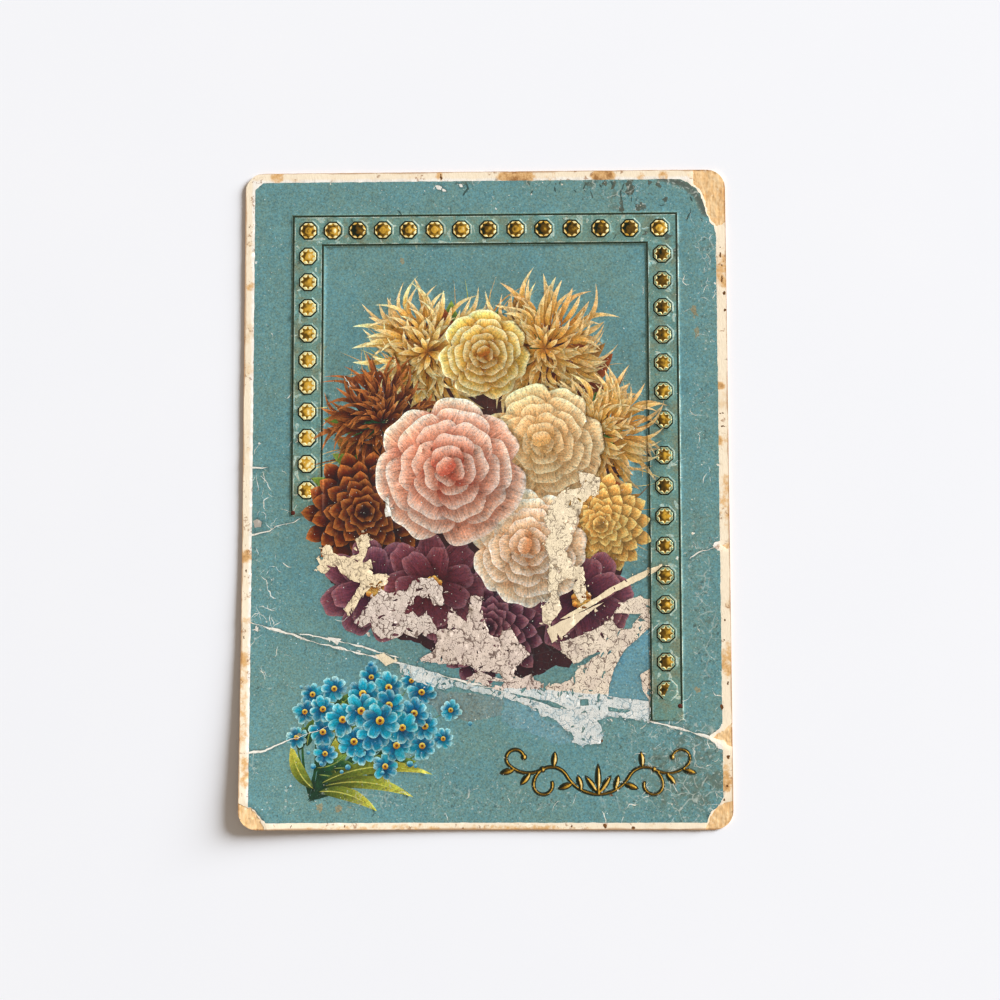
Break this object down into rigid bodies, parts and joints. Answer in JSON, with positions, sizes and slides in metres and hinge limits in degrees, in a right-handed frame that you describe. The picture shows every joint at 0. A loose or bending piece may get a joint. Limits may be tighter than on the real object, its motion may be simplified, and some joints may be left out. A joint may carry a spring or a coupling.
{
  "type": "postcard",
  "caption": "Old embossed picture postcard on pasted paper plies, with a gilt rosette border, a flower print and a worn, creased, slightly lifted corner.",
  "frame": {"origin": "middle of the card's back face, on the surface it lies on", "axes": "+Z out of the picture side, +Y to the top of the picture, +X to the right of the picture"},
  "size_m": [0.0888, 0.1206, 0.0021],
  "materials": {
    "liner_paper": "smooth uncoated paper, yellowed and foxed",
    "core_board": "coarse tan pulp board, matt",
    "print_film": "litho ink and varnish film, satin, cracked and flaked",
    "gilt": "bronze-powder gilding on raised size, worn",
    "back_ink": "flat dark printing ink"
  },
  "bodies": {
    "root": {"back_print": "back_ink", "back_liner": "liner_paper", "rear_middle": "core_board", "front_middle": "core_board", "front_liner": "liner_paper", "colour_print": "print_film", "gilt_outer_rule": "gilt", "gilt_inner_rule": "gilt", "gilt_rosettes_top": "gilt", "gilt_rosettes_left": "gilt", "gilt_rosettes_right": "gilt", "gilt_ornament": "gilt"}
  },
  "joints": []
}
